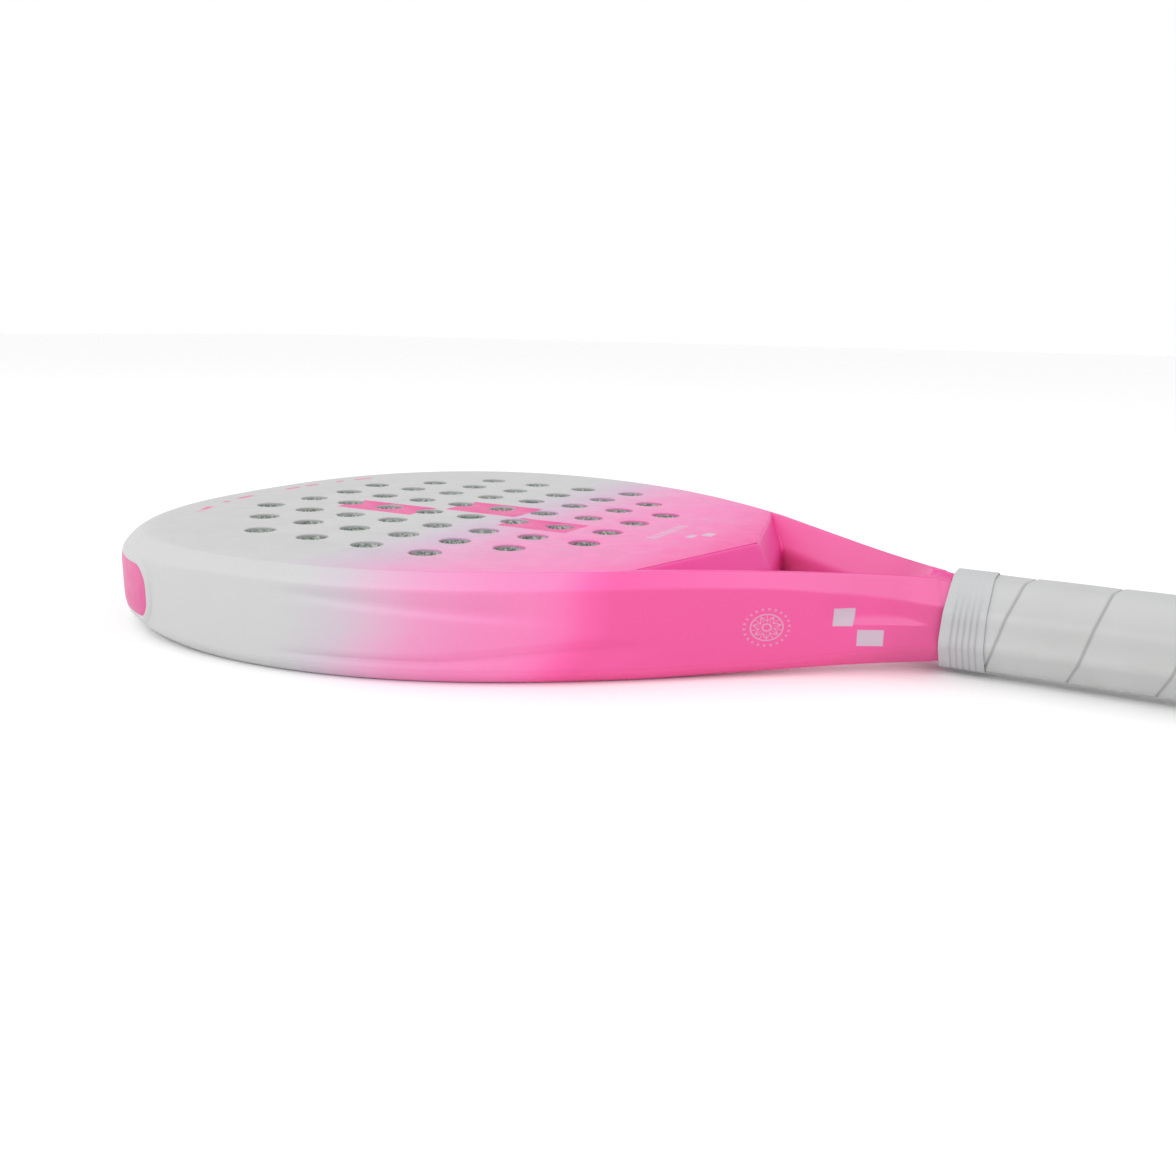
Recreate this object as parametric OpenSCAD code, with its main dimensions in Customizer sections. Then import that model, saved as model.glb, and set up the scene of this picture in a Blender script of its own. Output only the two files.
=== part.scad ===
// Padel racket, lying flat.
// +X runs from the tip of the head to the butt of the handle, Y runs across the head
// and +Z goes up through the thickness. The origin is at mid length, on the surface it lies on.
// Lengths along the racket are given as distances from the tip.

/* [Overall] */
// Length from the tip of the head to the butt
total_len = 455; // [445:1:460]
// Width across the widest place of the head
head_w = 258; // [250:1:262]
// Thickness over both faces
thick = 38; // [36:0.5:40]

/* [Head outline] */
// Distance from the tip to the widest place
wide_at = 112; // [108:1:116]
// How square the tip half of the outline is (2 is an ellipse)
tip_power = 2.4; // [2.1:0.1:2.6]
// Distance from the tip to the place where the shoulder passes into the arm
bend_at = 260; // [256:1:264]
// Half width at that place
bend_half_w = 64; // [62:1:66]
// Fall of the half width per millimetre of length at that place
bend_slope = 0.83; // [0.78:0.01:0.88]
// Distance from the tip to the neck, just ahead of the collar
neck_at = 333; // [331:0.5:335]
// Half width of the neck there
neck_half_w = 14.9; // [14.6:0.1:15]

/* [Frame tube] */
// Width of the tube, seen from above
tube_w = 15; // [13:0.5:16]
// Wall of the tube
tube_wall = 1.4; // [1.2:0.1:1.8]
// Bevel between the face and the side on the shoulders
bevel = 5; // [4.5:0.1:5.5]
// Width of the rounded edge at the tip
tip_round_w = 12; // [10:0.5:13]
// Height of the rounded edge at the tip
tip_round_h = 8; // [7:0.5:9]
// Depth of the channels beside the rib on the shoulders
channel_depth = 0.9; // [0.4:0.1:1.2]

/* [Faces and core] */
// Thickness of each face laminate
skin = 0.8; // [0.6:0.1:1.2]
// Diameter of the air holes
hole_d = 12; // [10:0.5:13]
// Distance from the tip to the middle of the hole pattern
holes_at = 129; // [127:1:131]
// Spacing of the hole columns along the racket
hole_pitch_x = 21.6; // [21:0.1:22]
// Distance from the centre line to the first row, and from row to row
hole_rows = [12, 36.5, 59.4, 82.5]; // [10:0.5:85]
// Share by which the outermost row spreads along the racket
hole_bow = 0.22; // [0:0.01:0.25]

/* [Bridge] */
// Distance from the tip to the point of the bridge
bridge_at = 268.5; // [267:0.5:270]
// Thickness of the bridge along the racket
bridge_w = 18; // [16:0.5:19]
// How far the bridge's front falls back per millimetre from the centre line
bridge_slope = 0.27; // [0.22:0.01:0.3]
// How far the bridge's front slopes forward below the face
bridge_bevel = 6.5; // [4:0.5:7]
// Height of that slope
bridge_drop = 10.5; // [8:0.5:12]

/* [Handle] */
// Half height of the two legs of the frame inside the handle
shaft_h = 14.4; // [14.2:0.1:14.5]
// Half width of the two legs side by side
shaft_w = 13.8; // [13.6:0.1:13.9]
// Thickness of the laminate sleeve around the legs
sleeve_t = 0.5; // [0.4:0.1:0.6]
// Thickness of the wound grip
grip_t = 1.6; // [1.5:0.1:1.8]
// Length of the butt cap's flange
flange_l = 8; // [6:0.5:8]
// How far the flange stands out from the grip
flange_lip = 1; // [0.8:0.1:1.2]
// Radius of the wrist cord hole in the butt cap
cord_hole_r = 3.5; // [3:0.25:4]

/* [Collar] */
// Length of the collar
collar_l = 15.5; // [14:0.5:18]
// Wall of the collar
collar_wall = 0.7; // [0.6:0.1:0.9]
// Gap between the collar and the grip it slides on
collar_gap = 0.3; // [0.25:0.05:0.35]
// Number of grooves around the collar
collar_grooves = 5; // [3:1:5]

/* [Hidden] */
$fn = 48;

half_t = thick / 2;
tip_x = -total_len / 2;
butt_x = total_len / 2;
wide_x = tip_x + wide_at;
bend_x = tip_x + bend_at;
neck_x = tip_x + neck_at;
bridge_x = tip_x + bridge_at;
holes_x = tip_x + holes_at;
tape_x = neck_x + 0.3;
collar_x = neck_x + 0.8;
shaft_x = neck_x + 7;
grip_x = shaft_x + 1;
leg_end = butt_x - 14;
grip_end = butt_x - flange_l;
touch = 0.05;

// ---------- helpers ----------

function clamp01(t) = min(1, max(0, t));
function ease(a, b, x) = let (t = clamp01((x - a) / (b - a))) t * t * (3 - 2 * t);
function mix(a, b, t) = a + (b - a) * t;
function unit(v) = v / norm(v);
function bezier(p, t) = pow(1 - t, 3) * p[0] + 3 * pow(1 - t, 2) * t * p[1]
                      + 3 * (1 - t) * t * t * p[2] + t * t * t * p[3];
function reverse(list) = [for (i = [len(list) - 1 : -1 : 0]) list[i]];
function flip_y(list) = [for (p = list) [p[0], -p[1]]];

module slab(points, z0, z1) {
    translate([0, 0, z0]) linear_extrude(z1 - z0) polygon(points);
}

// ---------- outer outline, +Y half, from the tip to the end of the handle ----------

tip_steps = 18;
shoulder_steps = 14;
arm_steps = 10;
tip_curve = [for (i = [0 : tip_steps])
    let (a = 90 * i / tip_steps)
    [wide_x - wide_at * pow(cos(a), 2 / tip_power), head_w / 2 * pow(sin(a), 2 / tip_power)]];
shoulder = [[wide_x, head_w / 2], [wide_x + 64, head_w / 2],
            [bend_x - 40, bend_half_w + 40 * bend_slope], [bend_x, bend_half_w]];
arm = [[bend_x, bend_half_w], [bend_x + 28, bend_half_w - 28 * bend_slope],
       [neck_x - 30, neck_half_w + 14], [neck_x, neck_half_w]];
outline = concat(
    tip_curve,
    [for (i = [1 : shoulder_steps]) bezier(shoulder, i / shoulder_steps)],
    [for (i = [1 : arm_steps]) bezier(arm, i / arm_steps)],
    [[neck_x + 4, neck_half_w], [shaft_x, shaft_w], [leg_end, shaft_w]]);
last = len(outline) - 1;

// Direction from the outline towards the inside of the racket at station i
function inward(i) = i == 0 ? [1, 0]
    : i > last - 4 ? [0, -1]
    : let (d = unit(outline[i + 1] - outline[i - 1])) [d[1], -d[0]];
function inset_point(i, n) = outline[i] + n * inward(i);
function inset_curve(n) = [for (i = [0 : tip_steps + shoulder_steps + 2]) inset_point(i, n)];

// ---------- section of the frame tube ----------

// Height from the middle plane to the top of the tube: it falls along the arms to the neck
neck_drop = 3.8;
function top_h(x) = x > neck_x + 5 ? shaft_h
    : half_t - neck_drop * pow(clamp01((x - bend_x + 8) / (neck_x - bend_x + 8)), 1.15);
// Where the tip's rounding, the arms' inner slope, the neck's shape and the faces apply
function tipness(x) = 1 - ease(tip_x + 15, wide_x + 10, x);
function armness(x) = ease(bridge_x - 20, bridge_x - 9, x) * (1 - ease(neck_x - 30, neck_x - 8, x));
function neckness(x) = ease(bend_x + 20, neck_x, x);
function on_face(x) = 1 - ease(bridge_x - 17, bridge_x - 7, x);
function channel(x) = channel_depth * ease(wide_x + 20, wide_x + 55, x)
                    * (1 - ease(bend_x - 45, bend_x - 12, x));
function rib_h(x) = mix(9, 3, ease(wide_x + 70, bend_x - 12, x));

// Widths and heights of the outer edge: a rounding at the tip, a bevel elsewhere
function edge_w(x) = x > neck_x + 5 ? shaft_w * 0.64
    : mix(mix(bevel, tip_round_w, tipness(x)), neck_half_w * 0.64, neckness(x));
function edge_h(x) = x > neck_x + 5 ? shaft_h * 0.66
    : mix(mix(bevel, tip_round_h, tipness(x)), (half_t - neck_drop) * 0.66, neckness(x));
// Width of the tube along the inward direction: the two legs meet on the centre line
function wall_w(i) = let (d = -inward(i)[1]) d < 0.3 ? tube_w
    : min(tube_w, (outline[i][1] - touch) / d);

// The side of the tip has a shallow pocket for the inset
inset_t = 0.8;
inset_half_h = half_t - tip_round_h - 1;
inset_last = 15;
function pocket(i) = i <= inset_last ? inset_t : 0;

// Upper half of the section at station i, from the side to the inner wall: [inset, height]
function upper_half(i) =
    let (x = outline[i][0], h = top_h(x), ew = edge_w(x), eh = edge_h(x), w = wall_w(i),
         seat = h - skin * on_face(x), inner_w = mix(0.5, 7, armness(x)),
         inner_h = mix(0.5, 11, armness(x)), side = h - eh, pk = pocket(i), g = channel(x) + pk,
         rib = pk > 0 ? inset_half_h / 1.3 : min(rib_h(x), side * 0.6),
         bulge = mix(0, 0.15, tipness(x)))
    [[pk, rib * 0.9],
     [g, pk > 0 ? inset_half_h : mix(rib, side, 0.35)],
     [pk > 0 ? 0 : g, pk > 0 ? inset_half_h + 0.5 : mix(rib, side, 0.7)],
     [0, side],
     [ew * (0.5 - bulge), side + (seat - side) * (0.5 + bulge)],
     [ew, seat],
     [max(w - inner_w, ew + 0.3), seat],
     [w, max(seat - inner_h, 0.2 * h)]];
function section(i) =
    let (u = upper_half(i))
    concat(u, [for (k = [len(u) - 1 : -1 : 0]) [u[k][0], -u[k][1]]]);
// The same section, shrunk by the wall on every side
function shrunk(i, wall) =
    let (w = wall_w(i), h = top_h(outline[i][0]))
    [for (p = section(i)) [wall + p[0] * (w - 2 * wall) / w, p[1] * (h - wall - skin) / h]];
function place(i, wall, side) =
    [for (p = wall == 0 ? section(i) : shrunk(i, wall))
        let (q = inset_point(i, p[0])) [q[0], side * q[1], half_t + p[1]]];
// The whole run of sections, from the end of one leg round the tip to the end of the other
function full_run(wall) = concat([for (i = [last : -1 : 1]) place(i, wall, -1)],
                                 [for (i = [0 : last]) place(i, wall, 1)]);

module swept_solid(run) {
    n = len(run[0]);
    m = len(run);
    sides = [for (j = [0 : m - 2], k = [0 : n - 1])
        let (a = j * n + k, b = j * n + (k + 1) % n)
        each [[a, a + n, b], [b, a + n, b + n]]];
    polyhedron([for (s = run) each s],
               concat([[for (k = [0 : n - 1]) k]],
                      [[for (k = [n - 1 : -1 : 0]) (m - 1) * n + k]], sides));
}

// A tube with open ends: outer run, inner run and a ring of wall at each end
module swept_tube(outer, inner) {
    n = len(outer[0]);
    m = len(outer);
    size = n * m;
    end = (m - 1) * n;
    walls = [for (j = [0 : m - 2], k = [0 : n - 1])
        let (a = j * n + k, b = j * n + (k + 1) % n)
        each [[a, a + n, b], [b, a + n, b + n],
              [size + a, size + b, size + a + n], [size + b, size + b + n, size + a + n]]];
    ends = [for (k = [0 : n - 1])
        let (b = (k + 1) % n)
        each [[k, b, size + k], [b, size + b, size + k],
              [end + k, size + end + k, end + b], [end + b, size + end + k, size + end + b]]];
    polyhedron([for (s = concat(outer, inner)) each s], concat(walls, ends));
}

module frame_tube() {
    color("hotpink") swept_tube(full_run(0), full_run(tube_wall));
}

module frame_foam() {
    color("khaki") swept_solid(full_run(tube_wall + touch));
}

// ---------- plan shapes inside the frame ----------

// The bridge's front is a shallow chevron; how far a point lies ahead of it, set back by d
function ahead(p, d) = p[0] + bridge_slope * abs(p[1]) - bridge_x + d;
function chevron_x(y, d) = bridge_x - d - bridge_slope * abs(y);
// Point where a curve crosses the chevron set back by d, and the parts on either side of it
function crossing(curve, d) = [for (i = [0 : len(curve) - 2])
    let (a = ahead(curve[i], d), b = ahead(curve[i + 1], d))
    if (a < 0 && b >= 0) mix(curve[i], curve[i + 1], a / (a - b))][0];
function before(curve, d) = concat([for (p = curve) if (ahead(p, d) < -0.2) p],
                                   [crossing(curve, d)]);
function between(curve, back, front) = concat([crossing(curve, back)],
    [for (p = curve) if (ahead(p, back) > 0.2 && ahead(p, front) < -0.2) p],
    [crossing(curve, front)]);

crease = [for (i = [0 : tip_steps + shoulder_steps + 2])
    inset_point(i, edge_w(outline[i][0]))];
function up_to_chevron(half, d) = concat(half, [[bridge_x - d, 0]]);
function mirrored_loop(half) = concat(half, reverse(flip_y([for (p = half) if (p[1] > 0.01) p])));

plateau = mirrored_loop(up_to_chevron(before(crease, bridge_bevel), bridge_bevel));
core_outline = mirrored_loop(up_to_chevron(before(inset_curve(tube_w + touch),
                                                  bridge_w + touch), bridge_w + touch));
function bridge_plan(back, front, gap) =
    let (half = between(inset_curve(tube_w + gap), back, front))
    concat([[bridge_x - back, 0]], half, [[bridge_x - front, 0]], reverse(flip_y(half)));

// ---------- air holes ----------

hole_columns = [2, 3, 4, 4, 4, 4, 3, 2];
hole_spots = [for (c = [0 : 7], r = [0 : hole_columns[c] - 1], side = [-1, 1])
    let (y = hole_rows[r], x0 = (c - 3.5) * hole_pitch_x - 0.8)
    [holes_x + x0 * (1 + hole_bow * pow(y / hole_rows[3], 2)), side * y]];

module air_holes() {
    for (p = hole_spots)
        translate([p[0], p[1], -1]) cylinder(d = hole_d, h = thick + 2);
}

module core() {
    color("darkslategray") difference() {
        slab(core_outline, skin, thick - skin);
        air_holes();
    }
}

module face_top() {
    color("white") difference() {
        slab(plateau, thick - skin, thick);
        air_holes();
    }
}

module face_bottom() {
    color("white") difference() {
        slab(plateau, 0, skin);
        air_holes();
    }
}

// ---------- bridge ----------

// Slopes the front above and below, one half of the chevron at a time
module bridge_slopes(shrink) {
    angle = atan(bridge_slope);
    lean = atan(bridge_bevel / bridge_drop);
    reach = norm([bridge_bevel, bridge_drop]);
    for (side = [-1, 1], up = [-1, 1])
        translate([bridge_x - bridge_bevel - shrink / cos(lean), 0, half_t + up * (half_t - skin)])
            rotate([0, 0, side * angle])
                rotate([0, -up * lean, 0])
                    translate([0, side > 0 ? -8 : -92, up > 0 ? -reach : -3])
                        cube([20, 100, reach + 3]);
}

// The bridge's solid, shrunk on every side but its ends, which lie a gap off the arms
module bridge_solid(shrink, gap) {
    difference() {
        slab(bridge_plan(bridge_w - shrink, shrink, gap), skin + shrink, thick - skin - shrink);
        bridge_slopes(shrink);
    }
}

module bridge() {
    color("deeppink") difference() {
        bridge_solid(0, touch);
        bridge_solid(tube_wall, -4);
    }
}

module bridge_foam() {
    color("khaki") bridge_solid(tube_wall + touch, 2 * touch);
}

// ---------- inset on the tip ----------

inset_run = [for (j = [-inset_last : inset_last])
    let (i = abs(j), side = j < 0 ? -1 : 1, h = i == inset_last ? 5.5 : inset_half_h)
    [for (p = [[0.05, h - 0.3], [inset_t - touch, h - 0.1],
               [inset_t - touch, -h + 0.1], [0.05, -h + 0.3]])
        let (q = inset_point(i, p[0])) [q[0], side * q[1], half_t + p[1]]]];

module tip_inset() {
    color("deeppink") swept_solid(inset_run);
}

// ---------- handle ----------

// Rounded octagon, longer through the thickness, as [y, z] points
function octagon(w, h) = let (a = w * 0.36, b = h * 0.34)
    [[w, -b], [w, b], [a, h], [-a, h], [-w, b], [-w, -b], [-a, -h], [a, -h]];
function rounded(points, r) = [for (i = [0 : len(points) - 1])
    let (n = len(points), p = points[i], u = unit(points[(i + n - 1) % n] - p),
         v = unit(points[(i + 1) % n] - p), half = acos(u * v) / 2, reach = r / tan(half),
         c = p + unit(u + v) * r / sin(half), s = unit(p + u * reach - c),
         e = unit(p + v * reach - c))
    each [for (k = [0 : 3]) c + r * unit(mix(s, e, k / 3))]];

// A bar along X with the octagon for a section; r rounds its corners
module bar(x0, x1, w, h, r) {
    translate([x0, 0, half_t]) rotate([90, 0, 90]) linear_extrude(x1 - x0)
        polygon(r > 0 ? rounded(octagon(w, h), r) : octagon(w, h));
}

sleeve_w = shaft_w + sleeve_t;
sleeve_h = shaft_h + sleeve_t;
grip_w = sleeve_w + grip_t;
grip_h = sleeve_h + grip_t;
tape_t = 0.4;
tape_l = 14;

module handle_sleeve() {
    color("dimgray") difference() {
        bar(shaft_x + 0.5, leg_end, sleeve_w, sleeve_h, 0);
        bar(shaft_x, leg_end + 1, shaft_w + touch, shaft_h + touch, 0);
    }
}

module base_grip() {
    color("whitesmoke") difference() {
        union() {
            bar(grip_x, tape_x + tape_l, grip_w - tape_t, grip_h - tape_t, 2.6);
            bar(tape_x + tape_l, grip_end, grip_w, grip_h, 3);
        }
        bar(grip_x - 1, grip_end + 1, sleeve_w + touch, sleeve_h + touch, 0);
    }
}

module finishing_tape() {
    color("white") difference() {
        bar(tape_x, tape_x + tape_l - touch, grip_w, grip_h, 3);
        bar(tape_x - 1, grip_x - touch, neck_half_w + touch, half_t - neck_drop + touch, 0);
        bar(grip_x - 1, butt_x, grip_w - tape_t + touch, grip_h - tape_t + touch, 2.6);
    }
}

module butt_cap() {
    color("white") difference() {
        union() {
            bar(leg_end + touch, grip_end + 1, sleeve_w, sleeve_h, 0);
            bar(grip_end + touch, butt_x, grip_w + flange_lip, grip_h + flange_lip, 4);
        }
        translate([leg_end - 1, 0, half_t]) rotate([0, 90, 0]) cylinder(r = 9, h = 10);
        translate([leg_end, 0, half_t]) rotate([0, 90, 0]) cylinder(r = cord_hole_r, h = 16);
    }
}

// ---------- collar ----------

module groove(x) {
    difference() {
        bar(x, x + 0.9, grip_w + 4, grip_h + 4, 3);
        bar(x - 1, x + 2, grip_w + collar_gap + collar_wall - 0.35,
            grip_h + collar_gap + collar_wall - 0.35, 3.5);
    }
}

module collar() {
    color("white") difference() {
        bar(collar_x, collar_x + collar_l, grip_w + collar_gap + collar_wall,
            grip_h + collar_gap + collar_wall, 3.8);
        bar(collar_x - 1, collar_x + collar_l + 1, grip_w + collar_gap, grip_h + collar_gap, 3.2);
        for (k = [0 : collar_grooves - 1])
            groove(collar_x + 2.2 + k * 2.2);
    }
}

frame_tube();
frame_foam();
bridge();
bridge_foam();
core();
face_top();
face_bottom();
tip_inset();
handle_sleeve();
butt_cap();
base_grip();
finishing_tape();
collar();
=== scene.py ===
"""Padel racket: the visible skins, materials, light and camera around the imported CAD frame.

Shapes are worked out in millimetres in the row's frame (+X from tip to butt, +Z up) and
turned into metres when a mesh is made.
"""

import math

import bmesh
import bpy
import numpy as np
from mathutils import Matrix, Vector
from mathutils.geometry import delaunay_2d_cdt


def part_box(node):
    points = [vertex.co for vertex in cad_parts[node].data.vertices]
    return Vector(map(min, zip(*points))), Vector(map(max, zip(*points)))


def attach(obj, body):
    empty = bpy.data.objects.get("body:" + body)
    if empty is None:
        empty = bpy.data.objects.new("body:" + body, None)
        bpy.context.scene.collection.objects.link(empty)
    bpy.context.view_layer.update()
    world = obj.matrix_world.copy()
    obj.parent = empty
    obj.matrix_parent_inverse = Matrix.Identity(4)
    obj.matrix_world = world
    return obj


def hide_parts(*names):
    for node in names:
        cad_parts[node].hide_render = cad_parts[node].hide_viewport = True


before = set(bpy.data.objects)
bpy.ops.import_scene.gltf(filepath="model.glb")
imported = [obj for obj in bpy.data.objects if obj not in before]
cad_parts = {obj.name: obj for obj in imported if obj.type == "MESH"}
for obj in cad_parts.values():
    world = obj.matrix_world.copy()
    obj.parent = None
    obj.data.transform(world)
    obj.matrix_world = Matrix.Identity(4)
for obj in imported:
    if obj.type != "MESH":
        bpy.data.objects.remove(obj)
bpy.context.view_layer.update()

MM = 0.001


def box_mm(node):
    lo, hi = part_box(node)
    return np.array(lo) / MM, np.array(hi) / MM


# ---------------- driving dimensions

tube_lo, tube_hi = box_mm("frame_tube")
plate_hi = box_mm("face_top")[1]
bridge_hi = box_mm("bridge")[1]
collar_lo, collar_hi = box_mm("collar")
grip_lo, grip_hi = box_mm("base_grip")
tape_hi = box_mm("finishing_tape")[1]
cap_hi = box_mm("butt_cap")[1]

tip_x = tube_lo[0]
half_w = tube_hi[1]
mid_z = plate_hi[2] / 2
half_t = mid_z
# Along the racket: widest head, shoulder's end, neck, middle of the holes and the chevron's crease
wide_x = tip_x + 112
bend_x = tip_x + 260
neck_x = collar_lo[0] + 0.5
holes_x = tip_x + 129
crest_x = bridge_hi[0] - 6.5
# How far the chevron falls back per millimetre from the centre line
CHEVRON = 0.27
# How square the outline of the tip is (2 is an ellipse)
TIP_POWER = 2.4
# The outline's half width and fall where the shoulder passes into the arm, and its half width at the neck
BEND_HALF_W, BEND_SLOPE = 64.0, 0.83
NECK_HALF_W = 14.9
# How much lower than the faces the frame's top is at the neck
NECK_DROP = 3.8
TUBE_W = 15.0
PLATE_T = 0.8
# The air holes: radius, facets, rows from the centre line, rows in each column, and the columns' pitch
HOLE_R, HOLE_SEG = 6.0, 40
HOLE_ROWS = (12, 36.5, 59.4, 82.5)
HOLES_PER_COLUMN = (2, 3, 4, 4, 4, 4, 3, 2)
HOLE_PITCH = 21.6
# Bridge: the profile of its front as (distance ahead of the crease, height), rounded at its corners
BRIDGE_CORNERS, BRIDGE_CUTS = [(-3, half_t), (0, half_t), (6.4, 8.4), (6.8, 0)], [1.5, 2.6]


# ---------------- curves


def ease(a, b, x):
    t = np.clip((np.asarray(x, float) - a) / (b - a), 0, 1)
    return t * t * (3 - 2 * t)


def mix(a, b, t):
    return a + (b - a) * t


def bezier(points, count):
    t = np.linspace(0, 1, count)[:, None]
    a, b, c, d = np.array(points, float)
    return (1 - t) ** 3 * a + 3 * (1 - t) ** 2 * t * b + 3 * (1 - t) * t * t * c + t**3 * d


def dense_outline():
    """Half of the outer outline, +Y side, from the tip to the neck."""
    a = np.radians(np.linspace(0, 90, 3000))
    along, across = np.cos(a) ** (2 / TIP_POWER), np.sin(a) ** (2 / TIP_POWER)
    tip = np.stack([wide_x - (wide_x - tip_x) * along, half_w * across], 1)
    tip[-1] = (wide_x, half_w)
    wide, bend, neck = (wide_x, half_w), (bend_x, BEND_HALF_W), (neck_x, NECK_HALF_W)
    before_bend = (bend_x - 40, BEND_HALF_W + 40 * BEND_SLOPE)
    after_bend = (bend_x + 28, BEND_HALF_W - 28 * BEND_SLOPE)
    shoulder = bezier([wide, (wide_x + 64, half_w), before_bend, bend], 900)
    arm = bezier([bend, after_bend, (neck_x - 30, NECK_HALF_W + 14), neck], 900)
    return np.concatenate([tip, shoulder[1:], arm[1:]])


DENSE = dense_outline()
ARC = np.concatenate([[0], np.cumsum(np.linalg.norm(np.diff(DENSE, axis=0), axis=1))])


def outline_at(s):
    """Points of the outline at arc lengths s from the tip."""
    s = np.asarray(s, float)
    return np.stack([np.interp(s, ARC, DENSE[:, k]) for k in (0, 1)], -1)


def inward_at(s, reach=1.5):
    """Unit vectors that point into the racket. Beyond the tip the outline goes on mirrored."""
    s = np.asarray(s, float)
    behind = outline_at(np.abs(s - reach))
    behind[s < reach, 1] *= -1
    d = outline_at(s + reach) - behind
    d /= np.linalg.norm(d, axis=-1, keepdims=True)
    return np.stack([d[..., 1], -d[..., 0]], -1)


def arc_where_x(x):
    """Arc length at which the outline passes a given x."""
    return float(np.interp(x, DENSE[:, 0], ARC))


def corner_curve(p, corner, q, steps):
    """A short curve from p to q that rounds the corner between them."""
    return [(1 - t) ** 2 * p + 2 * t * (1 - t) * corner + t * t * q for t in np.linspace(0, 1, steps)]


def rounded_path(corners, cuts, steps=5):
    """A polyline whose inner corners are rounded; the cuts say how far from each corner its curve starts."""
    corners = [np.array(c, float) for c in corners]
    out = [corners[0]]
    for a, b, c, reach in zip(corners, corners[1:], corners[2:], cuts):
        ends = []
        for far in (a, c):
            length = np.linalg.norm(far - b)
            ends.append(b + (far - b) * (min(reach, 0.48 * length) / max(length, 1e-9)))
        out += corner_curve(ends[0], b, ends[1], steps)
    out.append(corners[-1])
    return np.array(out)


# ---------------- mesh making


SHARP_ANGLE = math.radians(58)


def raw_mesh(name, verts, faces):
    """A mesh object from points in millimetres."""
    mesh = bpy.data.meshes.new(name)
    mesh.from_pydata([tuple(float(c) * MM for c in v) for v in verts], [], faces)
    obj = bpy.data.objects.new(name, mesh)
    bpy.context.scene.collection.objects.link(obj)
    return obj


def new_mesh(name, verts, faces):
    """A clean mesh: no doubled points, normals outwards, smooth but for its sharp edges."""
    obj = raw_mesh(name, verts, faces)
    mesh = obj.data
    mesh.validate()
    bm = bmesh.new()
    bm.from_mesh(mesh)
    bmesh.ops.remove_doubles(bm, verts=bm.verts, dist=2e-6)
    bmesh.ops.dissolve_degenerate(bm, edges=bm.edges, dist=1e-6)
    bmesh.ops.recalc_face_normals(bm, faces=bm.faces)
    for e in bm.edges:
        e.smooth = len(e.link_faces) != 2 or e.calc_face_angle(0) < SHARP_ANGLE
    for f in bm.faces:
        f.smooth = True
    bm.to_mesh(mesh)
    bm.free()
    return obj


def grid_faces(rows, cols, wrap_rows=False, wrap_cols=False, start=0):
    """Quads between the points of a grid, which may close on itself either way."""
    faces = []
    for i in range(rows if wrap_rows else rows - 1):
        for j in range(cols if wrap_cols else cols - 1):
            a = i * cols + j
            b = i * cols + (j + 1) % cols
            c = ((i + 1) % rows) * cols + (j + 1) % cols
            d = ((i + 1) % rows) * cols + j
            faces.append((start + a, start + b, start + c, start + d))
    return faces


def grid_piece(name, grid, wrap_rows=False, wrap_cols=False, caps=False):
    """A mesh over a grid of points, with its first and last rows capped if asked."""
    grid = np.asarray(grid, float)
    rows, cols = grid.shape[:2]
    faces = grid_faces(rows, cols, wrap_rows, wrap_cols)
    if caps:
        faces.append(tuple(range(cols)))
        faces.append(tuple((rows - 1) * cols + j for j in range(cols - 1, -1, -1)))
    return new_mesh(name, grid.reshape(-1, 3), faces)


def merged(obj, distance=0.02):
    """Join the vertices that meet, so that a patch closes without a slit."""
    bm = bmesh.new()
    bm.from_mesh(obj.data)
    bmesh.ops.remove_doubles(bm, verts=bm.verts, dist=distance * MM)
    bmesh.ops.dissolve_degenerate(bm, edges=bm.edges, dist=distance * MM)
    bm.to_mesh(obj.data)
    bm.free()
    return obj


def weighted(obj):
    """Flat stretches shade flat and the rounded corners carry the bend."""
    mod = obj.modifiers.new("weighted", "WEIGHTED_NORMAL")
    mod.keep_sharp = True
    mod.weight = 80
    return obj


# ---------------- frame tube


def top_h(x):
    """Height of the tube's top above the middle plane: it falls along the arms to the neck."""
    t = np.clip((x - bend_x + 8) / (neck_x - bend_x + 8), 0, 1)
    return half_t - NECK_DROP * t**1.15


def tipness(x):
    return 1 - ease(tip_x + 15, wide_x + 10, x)


def neckness(x):
    return ease(bend_x + 20, neck_x, x)


def edge_w(x):
    return mix(mix(5.0, 12.0, tipness(x)), 8.0, neckness(x))


def edge_h(x):
    return mix(mix(4.8, 8.4, tipness(x)), 8.0, neckness(x))


def rib_h(x, upper):
    """Height of the rib's edge from the middle: the rib narrows over the shoulder, more so above."""
    if upper:
        return float(mix(7.0, 0.3, np.clip((x - wide_x - 40) / 86, 0, 1)))
    over_shoulder = mix(9.0, 3.4, ease(wide_x + 62, bend_x - 14, x))
    return float(mix(over_shoulder, 0.3, ease(bend_x - 4, bend_x + 30, x)))


def hollow(x, side, upper):
    """The hollow beside the rib: its depth, its deepest line's height, and how far the wall above stands in."""
    end = bend_x - 30 if upper else bend_x - 6
    shoulder = 1.7 * ease(wide_x + 18, wide_x + 50, x) * (1 - ease(end - 26, end + 4, x))
    by_collar = 2.4 * upper * ease(neck_x - 38, neck_x - 20, x) * (1 - ease(neck_x - 12, neck_x - 1, x))
    near_collar = ease(bend_x + 8, bend_x + 38, x)
    low = mix(rib_h(x, upper) + 2.9, 2.6 - 1.5 * ease(neck_x - 16, neck_x, x), near_collar)
    return float(shoulder + by_collar), min(float(low), side - 3.2), float(by_collar)


def outer_edge(ew, eh, side, top, lip, tipn, stand, soft):
    """From the side up to the face: a bevel on the shoulders, a full rounding at the tip."""
    reach = lip + 0.4
    bevel = rounded_path([(stand, side - 2), (stand, side), (ew, top), (reach, top)], [soft, 1.6], 7)
    handles = (0, side + 0.24 * eh), (0.41 * reach, top)
    return mix(bevel, bezier([(0, side - 3), *handles, (reach, top)], len(bevel)), tipn)


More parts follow.
